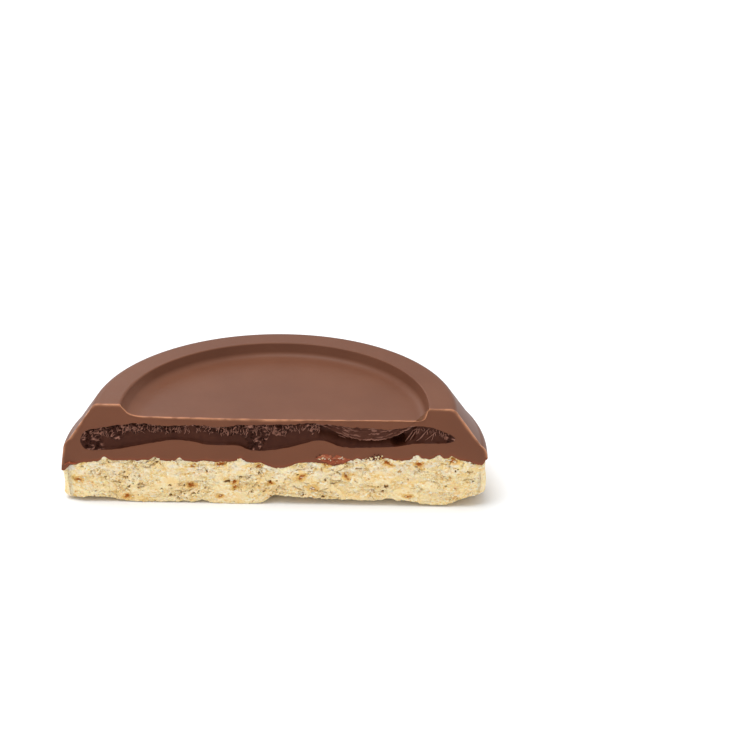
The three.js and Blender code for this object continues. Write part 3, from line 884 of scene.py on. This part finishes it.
# %% Dark caramel
def dark_caramel():
    recipe = Recipe("dark_caramel", IOR=1.4, Specular_IOR_Level=0.14)
    here = recipe.place()
    torn = recipe.attribute("torn")
    painted_highlight = recipe.attribute("painted_highlight")
    cloud = recipe.grain(here, 0.9, detail=4)
    colour = recipe.blend(cloud.ramp(0.3, 0.7), tint(66, 31, 19), tint(74, 38, 24))
    colour = recipe.blend(torn * 0.6, colour, tint(52, 24, 17))
    # Painted highlight: a pale pinkish brown where the crests, the flap and the strands catch the light.
    colour = recipe.blend(painted_highlight, colour, tint(152, 106, 90))
    fine = recipe.grain(here, 0.14, detail=4, roughness=0.6)
    roughness = 0.42 + 0.1 * cloud - 0.1 * painted_highlight
    return recipe.finish(colour, roughness, fine * (0.15 + torn * 0.7), depth=0.06)


CARAMEL = dark_caramel()
print("caramel made of", len(CARAMEL.node_tree.nodes), "nodes")

# %% [markdown]
# ## The caramel filling
#
# The filling has the pocket's own skin, so it fills the pocket without a gap, and a cut face of its own. The
# face is a grid between the roof line and the floor line. On the left it has a torn curtain above a smooth
# part that lies a little further back. On the right a smooth flap hangs like a slack rope over a hollow, and
# beside it the knife dug a deep notch. The end at +X is crumbly.

# %% Sizes of the filling's face
FILL_COLUMNS = 760
FILL_ROWS = 56
FILL_TURN = 14
FILL_GAP = 0.3  # the first column starts this share of a step inside the filling's end
FILL_PROUD = 0.12  # the furthest that the filling stands out of the cut
BORDER_DEPTH = 0.08  # its face starts this far behind the cut at the roof and at the floor
CALM_DEPTH = 0.34  # how far the smooth part lies behind the cut
# The flap's lower edge, as (x, height)
FLAP_LINE = [
    (5.6, 10.9), (6.8, 10.36), (7.6, 9.81), (8.4, 9.48), (9.2, 9.21), (10.0, 9.0), (11.8, 8.87), (13.5, 9.0),
    (14.1, 9.2), (14.9, 9.6), (15.9, 10.18), (17.1, 10.9),
]
FLAP_FROM, FLAP_TO = 5.0, 16.8  # the flap hangs between these x
CURTAIN_END = 5.4  # the torn curtain ends at this x
TORN_LOW, TORN_HIGH = -20.7, 20.5  # outside these x the filling is torn all through
HOLLOW_DEPTH = 1.1
NOTCH = (15.1, 8.8, 0.9, 0.7, 1.6)  # middle (x, z), half width, half height and depth of the notch
# Tears that reach further down than the rest: (x, share of the height, half width)
TEARS = [
    (-19.6, 0.3, 0.9), (-17.3, 0.1, 1.2), (-13.2, 0.25, 1.0), (-10.3, -0.3, 0.9), (-2.5, 0.8, 1.2), (0.8, 0.15, 1.0),
    (3.3, -0.2, 0.7), (4.6, 0.4, 0.35), (-5.2, 0.15, 0.6),
]


def tear_line(x):
    """Share of the height where the torn curtain ends: even, plus noise, minus a bell for each tear."""
    line = 0.66 + 0.08 * noise(x / 1.3, 0, 0, 121) + 0.09 * noise(x / 0.45, 0, 0, 122)
    for at, share, width in TEARS:
        line = line - share * bell(x - at, width)
    return line


def flap_edge(x):
    """Height of the flap's ragged lower edge: its line plus two layers of noise."""
    return curve(FLAP_LINE, x) + 0.07 * noise(x / 0.5, 0, 0, 127) + 0.07 * noise(x / 0.2, 0, 0, 128)


def filling_face(x, z, share):
    """(depth behind the cut, how torn, how much painted highlight) for points of the filling's cut face."""
    across = x + 0.3 * on_cut(x, z, 0.6, 0.5, 123)
    along = z + 0.3 * on_cut(x, z, 0.5, 0.6, 126)
    fold = 1 - np.abs(on_cut(across, along, 0.55, 0.6, 124))
    thread = 1 - np.abs(on_cut(across, along, 0.32, 0.24, 125))
    lit = smooth((on_cut(x, z, 0.6, 0.35, 129) + 0.2) / 0.5)
    ridge = 0.55 * fold**2 + 0.45 * thread**2
    lump = on_cut(x, z, 0.8, 0.55, 41)
    calm = CALM_DEPTH + 0.1 * on_cut(x, z, 1.7, 1.8, 43) + 0.015 * on_cut(x, z, 0.4, 0.4, 44)

    left_end, right_end = smooth((TORN_LOW - x) / 1.0), smooth((x - TORN_HIGH) / 0.6)
    curtain = smooth((share - tear_line(x)) / 0.07 + 0.5) * (1 - smooth((x - CURTAIN_END) / 0.8))
    torn = np.maximum(curtain, np.maximum(left_end, right_end))
    torn_depth = 0.42 + 0.14 * lump - 0.5 * ridge
    depth = mix(calm, torn_depth, torn)

    over = z - flap_edge(x)
    flap_zone = smooth((x - FLAP_FROM) / 0.8) * (1 - smooth((x - FLAP_TO) / 0.5))
    flap = flap_zone * smooth(over / 0.06 + 0.5)
    streak = on_cut(x, over, 1.1, 0.13, 45) + 0.5 * on_cut(x, over, 0.35, 0.1, 47)
    flap_depth = 0.22 + 0.09 * streak - 0.14 * bell(over - 0.1, 0.12)
    under = flap_zone * (1 - smooth(over / 0.06 + 0.5))
    hollow = mix(0.3, HOLLOW_DEPTH, smooth((share - 0.02) / 0.5)) + 0.04 * lump
    depth = mix(mix(depth, hollow, under), flap_depth, flap)
    at_x, at_z, wide, high, deep = NOTCH
    notch = smooth(1.7 - 1.4 * np.hypot((x - at_x) / wide, (z - at_z) / high)) * smooth(0.6 - over / 0.3)
    depth = depth + deep * notch
    facets = 0.12 * noise((x - 0.6 * z) / 0.8, 0, z / 1.6, 46) * smooth((x - 15.5) / 0.6)
    # Painted highlights: the flap's lower edge, its pale streaks and the lit torn threads are painted pale.
    edge_light = flap * bell(over - 0.07, 0.07) * smooth(0.5 + noise(x / 0.6, 0, 0, 130))
    torn_light = smooth((thread - 0.66) / 0.26) * lit * torn * smooth((torn_depth - 0.6) / -0.3)
    flap_light = flap * (0.06 + 0.75 * smooth((streak - 0.45) / 0.2))
    painted_highlight = np.clip(torn_light + edge_light + flap_light, 0, 1)
    return depth + facets, torn, painted_highlight * (1 - notch)


def face_frame(x):
    """Heights (floor, roof) of the filling's face at places along the cut."""
    ends = [pocket_point(np.array([a]), np.array([1.0]), 1.0)[0, 0] for a in (math.pi, 0.0)]
    share = np.where(x < 0, x / ends[0], x / ends[1])
    angle = np.where(x < 0, math.pi, 0.0)
    return pocket_point(angle, share, -1.0)[..., 2], pocket_point(angle, share, 1.0)[..., 2]


def filling_mesh():
    """Filling: a half disc of loops that fan out from the cut, each up the cut face and back by the pocket."""
    share_x = column_shares(FILL_COLUMNS, FILL_GAP)
    angle = math.pi * (1 - share_x)[:, None]
    left, right = FILLING_SHIFT - FILLING_RADIUS, FILLING_SHIFT + FILLING_RADIUS
    x = mix(left, right, share_x)[:, None]
    floor, roof = face_frame(x)
    t = np.linspace(0, 1, FILL_ROWS)[None, :]
    z = mix(floor, roof, t)
    depth, torn, painted_highlight = filling_face(x + 0 * z, z, t + 0 * x)
    border = smooth(np.minimum(z - floor, roof - z) / 0.14)
    fade = smooth(np.minimum(x - left, right - x) / 0.8)
    depth = np.maximum(mix(BORDER_DEPTH, depth, border) * fade, -FILL_PROUD)
    cut_face = np.stack([x + 0 * z, depth, z], -1)

    w = np.linspace(0, 1, FILL_TURN)[None, 1:] ** 1.5
    back = pocket_point(angle, np.ones_like(angle), 1.0)
    bx = mix(x, back[..., 0], w)
    by = mix(BORDER_DEPTH, back[..., 1], w)
    turn_angle = np.arctan2(by, bx)
    part = np.minimum(np.hypot(bx, by) / filling_reach(turn_angle), 1.0)
    top = pocket_point(turn_angle, part, 1.0)
    bottom = pocket_point(turn_angle, part, -1.0)[:, ::-1][:, 1:]
    loops = np.concatenate([cut_face, top, bottom, cut_face[:, :1]], 1)
    return fan_mesh(loops, FILL_ROWS, {"torn": (torn, 0.0), "painted_highlight": (painted_highlight, 0.0)}, sharp=80.0)


filling = piece("caramel", filling_mesh(), CARAMEL, ["caramel_filling"])

# %% [markdown]
# ## Pulled strands
#
# When a knife leaves sticky caramel, it pulls thin strands out of it. They are real threads here, because
# what catches the light is their round back: short wisps in the torn curtain, and a few long ones that run
# up beside the notch. Their colour carries a painted highlight too. All of them are tubes along paths, made at
# once as one stack of grids. A few dark bits of caramel that the knife carried to the seam are small lumpy balls.

# %% Strands
BALL_ROWS, BALL_SIDES = 5, 7
STRAND_SIDES = 6
STRAND_STEPS = 12
WISPS = 330
NO_WISPS = (11.5, 5.8)  # middle and half width of the flap, which has none
STRAND_PROUD = 0.08  # the furthest that a strand's middle line stands out of the cut
# Long strands beside the notch: (x, z) of the foot and of the head, bow sideways, radius
LONG_STRANDS = [
    ((15.85, 8.6), (16.95, 10.35), 0.1, 0.055), ((16.45, 8.75), (17.5, 10.55), -0.12, 0.06),
    ((17.5, 8.85), (18.7, 10.4), -0.12, 0.07), ((18.3, 8.9), (19.8, 10.1), 0.12, 0.05),
    ((19.1, 8.8), (19.4, 10.2), 0.1, 0.05), ((17.2, 8.7), (18.1, 9.5), 0.05, 0.05),
    ((15.2, 10.1), (17.3, 10.95), -0.08, 0.06), ((7.7, 9.4), (8.7, 9.0), 0.05, 0.05),
]
# Dark bits that the knife dragged onto the seam: (x, z)
SPECKS = [
    (12.2, 7.05), (12.5, 6.85), (11.9, 6.75), (12.7, 7.0), (11.6, 6.5), (12.1, 6.4), (12.9, 6.75), (11.2, 6.4),
    (5.1, 6.55), (5.5, 6.85),
]


def tubes(paths, radius):
    """Closed tubes (path, step, side, 3) round paths (path, step, 3). The radius (path, step) is 0 at both
    ends, and a ring is the path's point plus the radius times cosine and sine along two normals."""
    along = np.gradient(paths, axis=1)
    along = along / np.linalg.norm(along, axis=-1, keepdims=True)
    out = np.cross(along, (0.0, 1.0, 0.0))
    out = out / np.linalg.norm(out, axis=-1, keepdims=True)
    up = np.cross(along, out)
    turn = np.linspace(0, 2 * math.pi, STRAND_SIDES + 1)
    ring = np.cos(turn)[:, None] * out[:, :, None] + np.sin(turn)[:, None] * up[:, :, None]
    return paths[:, :, None] + radius[:, :, None, None] * ring


def strand_paths():
    """Paths on the filling's face, lifted off it a little in their middle, and the radii along them."""
    draw = np.random.default_rng(7)
    t = np.linspace(0, 1, STRAND_STEPS)[None, :]
    foot_x = draw.uniform(-22.6, 21.0, WISPS)[:, None]
    foot_x = foot_x[np.abs(foot_x[:, 0] - NO_WISPS[0]) > NO_WISPS[1]]
    count = len(foot_x)
    slant, length = draw.normal(0, 0.35, (count, 1)), draw.uniform(0.25, 0.95, (count, 1))
    floor, roof = face_frame(foot_x)
    top = mix(floor, roof, draw.uniform(0.72, 0.97, (count, 1)))
    x = foot_x + length * (slant * t + 0.12 * np.sin(4 * t + 9 * slant))
    z = top - length * t * (1 - 0.3 * np.abs(slant))
    radius = draw.uniform(0.025, 0.055, (count, 1)) * swell(t)
    for foot, head, bow, thick in LONG_STRANDS:
        side = bow * np.sin(math.pi * t)
        x = np.concatenate([x, mix(foot[0], head[0], t) + side])
        z = np.concatenate([z, mix(foot[1], head[1], t) + side])
        radius = np.concatenate([radius, thick * swell(t)])
    floor, roof = face_frame(x)
    z = np.clip(z, floor + 0.08, roof - 0.05)
    depth = filling_face(x, z, (z - floor) / (roof - floor))[0]
    taut = np.minimum(depth, 0.45) - 0.03 - 0.08 * np.sin(math.pi * t)
    return np.stack([x, np.maximum(taut, -STRAND_PROUD), z], -1), radius


def balls(centres, sizes, seed):
    """Lumpy balls (ball, row, side, 3): a sphere's points times the size, each pushed out by noise."""
    down = np.linspace(0, math.pi, BALL_ROWS)[None, :, None]
    round_it = np.linspace(0, 2 * math.pi, BALL_SIDES + 1)[None, None, :]
    level = np.cos(down) + 0 * round_it
    unit = np.stack([np.sin(down) * np.cos(round_it), np.sin(down) * np.sin(round_it), level], -1)
    number = np.arange(len(centres))[:, None, None] * 7.31
    out = 1 + 0.35 * noise(1.3 * unit[..., 0] + number, 1.3 * unit[..., 1], 1.3 * unit[..., 2], seed)
    return centres[:, None, None] + unit * out[..., None] * sizes[:, None, None]


def strand_mesh():
    """The strands, and the dark specks of caramel that the knife left on the seam."""
    grid = tubes(*strand_paths())
    places = np.array([(x, -0.02, z) for x, z in SPECKS])
    sizes = np.array([(0.08 + 0.03 * (k % 3), 0.07, 0.06 + 0.03 * (k % 2)) for k in range(len(SPECKS))])
    specks = balls(places, sizes, 151)
    # The strands are painted with 0.8 of the caramel's painted highlight, the specks with none.
    bright = [np.full(grid.shape[:-1], 0.8), np.zeros(specks.shape[:-1])]
    return mesh_of([grid, specks], sharp=80.0, values={"painted_highlight": bright, "torn": bright})


strands = piece("caramel_strands", strand_mesh(), CARAMEL)

# %% [markdown]
# ## Grains and smears
#
# The last detail at the seam is loose: fine grains of biscuit on the broken face and on the tips that stand
# up into the chocolate, and a crumpled skin of chocolate that the knife dragged over the crumb. Grains are
# lumpy balls, all made as one stack of small grids with their poles closed.

# %% Grains and smears
# Grains on the whole face, along the seam, among the specks on the seam and on the smear's upper edge:
# (lowest x, highest x, lowest and highest share of the height from the underside to the seam, number)
GRAIN_ZONES = [
    (-25, 25, 0.04, 0.97, 1000), (-23, 24, 0.88, 1.0, 300), (10.8, 13.2, 0.97, 1.08, 28), (5.4, 8.4, 1.1, 1.18, 20),
]
LARGE_GRAINS, TOASTED_GRAINS = 0.1, 0.07  # shares of all grains
REACH = 0.18  # no grain or smear stands further out of the cut than this
SMEAR_COLUMNS, SMEAR_ROWS = 110, 30
# Upper and lower outline of the chocolate that the knife smeared over the crumb, as (x, height)
SMEAR_TOP = [(4.9, 6.4), (5.5, 6.92), (6.6, 6.98), (7.6, 6.88), (8.8, 6.55), (9.6, 6.5)]
SMEAR_LOW = [(4.9, 6.3), (5.9, 5.85), (7.3, 5.42), (8.6, 5.7), (9.2, 6.2), (9.6, 6.45)]
# The same for the thin lip of the lap at the -X end
LIP_TOP = [(-26.0, 5.0), (-25.5, 5.35), (-24.9, 5.22), (-24.2, 5.16)]
LIP_LOW = [(-26.0, 4.7), (-25.5, 5.1), (-24.9, 5.02), (-24.2, 5.06)]


def grain_mesh():
    """Grains over the whole cut face, more of them along the seam, and a few on the specks and the smear."""
    draw = np.random.default_rng(11)
    x = np.concatenate([draw.uniform(low, high, count) for low, high, _, _, count in GRAIN_ZONES])
    share = np.concatenate([draw.uniform(low, high, count) for _, _, low, high, count in GRAIN_ZONES])
    z = mix(underside(x, 0.0), seam(x, 0.0), share)
    size = draw.uniform(0.05, 0.13, len(x)) * np.where(draw.uniform(0, 1, len(x)) > 1 - LARGE_GRAINS, 1.5, 1.0)
    depth = crumb(x, z)[0].clip(-0.05, 1.0) * (share < 1)
    wide, high = draw.uniform(0.9, 1.8, len(x)), draw.uniform(0.7, 1.1, len(x))
    sizes = size[:, None] * np.stack([wide, 0 * x + 0.8, high], -1)
    grid = balls(np.stack([x, depth + 0.1 * size, z], -1), sizes, 131)
    grid[..., 1] = np.maximum(grid[..., 1], -REACH)
    flat = np.zeros(grid.shape[:-1])
    toasted = (draw.uniform(0, 1, len(x)) > 1 - TOASTED_GRAINS)[:, None, None]
    values = {"hole_shade": [flat], "toast": [flat + toasted * 0.7], "crust": [flat], "height": [flat + 0.9], "plate": [flat]}
    return mesh_of([grid], sharp=60.0, values=values)


def smear_grid(top_line, low_line, side):
    """Skin of chocolate on the cut between two lines. It bulges forward as half an ellipse does, and noise
    crumples it. `side` is 1 in front and 0 at the back. The second result is 1 near the upper line."""
    u, v = np.linspace(0, 1, SMEAR_COLUMNS)[:, None], np.linspace(0, 1, SMEAR_ROWS)[None, :]
    ends = swell(u)
    x = mix(top_line[0][0], top_line[-1][0], u)
    top = curve(top_line, x) + 0.07 * noise(x / 0.35, 0, 0, 142)
    low = curve(low_line, x) + 0.07 * noise(x / 0.35, 0, 0, 143)
    z = mix((top + low) / 2, mix(low, top, v), ends)
    thick = ends * swell(v)
    crumple = 0.16 * noise(x / 0.45, z / 0.22, 0, 144) + 0.1 * noise(x / 0.18, z / 0.13, 0, 145)
    front = 0.05 - (0.13 * thick - thick * crumple) * side + 0.3 * thick * (1 - side)
    # Pale wisps on the smear's upper half take the paler edge colour: partly the smear's own pale wisps, partly a
    # painted highlight.
    wisp = smooth((noise(x / 0.4, z / 0.15, 0, 146) - 0.1) / 0.4) * smooth((v - 0.45) / 0.5)
    return np.stack([x + 0 * z, np.maximum(front, -REACH), z], -1), wisp * ends


def smear_mesh():
    """Two smears, each closed by its front and its back."""
    grids, bright = [], []
    for lines in ((SMEAR_TOP, SMEAR_LOW), (LIP_TOP, LIP_LOW)):
        front, wisp = smear_grid(*lines, 1.0)
        grids += [front, smear_grid(*lines, 0.0)[0]]
        bright += [wisp, 0 * wisp]
    return mesh_of(grids, sharp=70.0, values={"edge": bright, "smear": [0 * n + 0.9 for n in bright]})


grains = piece("biscuit_grains", grain_mesh(), BISCUIT)
smears = piece("chocolate_smears", smear_mesh(), CHOCOLATE)

# %% [markdown]
# ## Floor, light and camera
#
# The biscuit lies on plain white under soft light. A big lamp high over the table, a little to the left and
# in front, lights the level faces most, and the white floor throws light up on the cut. A white world fills
# the rest, weaker than the lamp, so the wall at the back of the dish stays darker than the cut, as it does on
# a real table. A small, faint lamp behind the biscuit gives the chocolate's level faces a sheen.

# %% Floor, light and camera
FLOOR_SIZE = 4.0
CAMERA_PLACE = (23.64, -316.66, 164.4)  # in the frame of the cut
CAMERA_TILT = 24.84  # degrees below the horizon
CAMERA_TURN = 2.06  # degrees from straight at the cut, towards -X
CAMERA_LENS = 139.2
WORLD_LIGHT = 0.7
# Lamps: name, edge length in metres, watts, place in the part's frame in metres
LAMPS = [("key", 0.7, 6.4, (-0.22, -0.06, 0.85)), ("sheen", 0.07, 0.03, (-0.07, 0.2, 0.1))]


def pale_floor():
    """A big white square at table height."""
    mesh = bpy.data.meshes.new("floor")
    s = FLOOR_SIZE / 2
    mesh.from_pydata([(-s, -s, 0), (s, -s, 0), (s, s, 0), (-s, s, 0)], [], [(0, 1, 2, 3)])
    floor = new_object("floor", mesh)
    recipe = Recipe("white_floor", Base_Color=(0.91, 0.93, 0.95, 1.0), Roughness=1.0, Specular_IOR_Level=0.0)
    mesh.materials.append(recipe.material)


def soft_lamp(name, size, power, place):
    """A square area lamp that looks at the biscuit."""
    light = bpy.data.lights.new(name, "AREA")
    light.shape, light.size, light.energy = "SQUARE", size, power
    lamp = new_object(name, light)
    lamp.location = place
    lamp.visible_camera = False
    lamp.rotation_euler = Vector(place).to_track_quat("Z", "Y").to_euler()


def white_world(strength):
    """An even white light from all round."""
    world = bpy.data.worlds.new("studio")
    world.use_nodes = True
    back = world.node_tree.nodes["Background"]
    back.inputs["Color"].default_value = (1.0, 1.0, 1.0, 1.0)
    back.inputs["Strength"].default_value = strength
    bpy.context.scene.world = world


def camera():
    """A camera at its place in the frame of the cut, tilted down and turned towards -X."""
    data = bpy.data.cameras.new("camera")
    data.sensor_width, data.lens = 36.0, CAMERA_LENS
    data.clip_start, data.clip_end = 0.01, 20.0
    made = new_object("camera", data)
    made.location = to_frame(CAMERA_PLACE)
    made.rotation_euler = (math.radians(90 - CAMERA_TILT), 0.0, math.radians(CAMERA_TURN))
    bpy.context.scene.camera = made


pale_floor()
white_world(WORLD_LIGHT)
for lamp in LAMPS:
    soft_lamp(*lamp)
camera()
bpy.context.scene.view_settings.view_transform = "Standard"
print("camera lens:", CAMERA_LENS, "mm")
